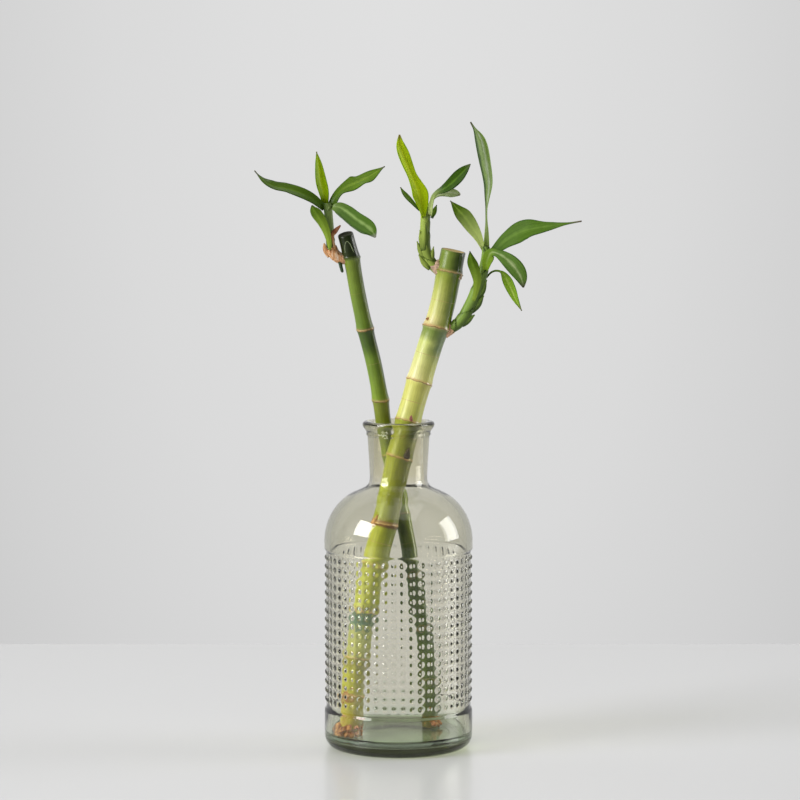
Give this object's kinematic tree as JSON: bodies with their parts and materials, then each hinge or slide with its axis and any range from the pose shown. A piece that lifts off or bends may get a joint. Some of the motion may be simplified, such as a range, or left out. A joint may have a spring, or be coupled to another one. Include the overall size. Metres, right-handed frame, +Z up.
{
  "type": "lucky bamboo in a glass vase",
  "caption": "Lucky bamboo in a studded glass bottle vase: a thick and a thin cane cross in the neck, stand in shallow water and carry leafy shoots.",
  "frame": {"origin": "middle of the vase's round foot, on the table", "axes": "+Z up along the vase's axis, -Y towards the viewer, +X to the viewer's right"},
  "size_m": [0.164, 0.076, 0.3202],
  "materials": {
    "vase_glass": "clear smoky grey-green moulded glass",
    "water": "clear still water",
    "thick_cane": "smooth waxy living cane",
    "thin_cane": "smooth waxy living cane",
    "husk": "dry papery husk",
    "stem": "waxy leaf sheaths around a stem",
    "leaf_green": "glossy living leaf",
    "leaf_fresh": "glossy young leaf",
    "leaf_deep": "glossy dark leaf"
  },
  "bodies": {
    "root": {"vase": "vase_glass", "water": "water", "thick_cane": "thick_cane", "thin_cane": "thin_cane", "left_shoot_husk": "husk", "left_shoot_stem": "stem", "upper_shoot_stem": "stem", "right_shoot_stem": "stem", "leaf_left_long": "leaf_deep", "leaf_left_upright": "leaf_fresh", "leaf_left_wavy": "leaf_green", "leaf_left_drooping": "leaf_green", "leaf_left_sheath": "leaf_fresh", "leaf_upper_tall": "leaf_fresh", "leaf_upper_narrow": "leaf_deep", "leaf_upper_arching": "leaf_green", "leaf_upper_tip": "leaf_green", "leaf_upper_curled": "leaf_green", "leaf_right_tall": "leaf_green", "leaf_right_inner": "leaf_green", "leaf_right_long": "leaf_green", "leaf_right_folded": "leaf_green", "leaf_right_hanging": "leaf_fresh", "leaf_right_sheath": "leaf_green"}
  },
  "joints": []
}
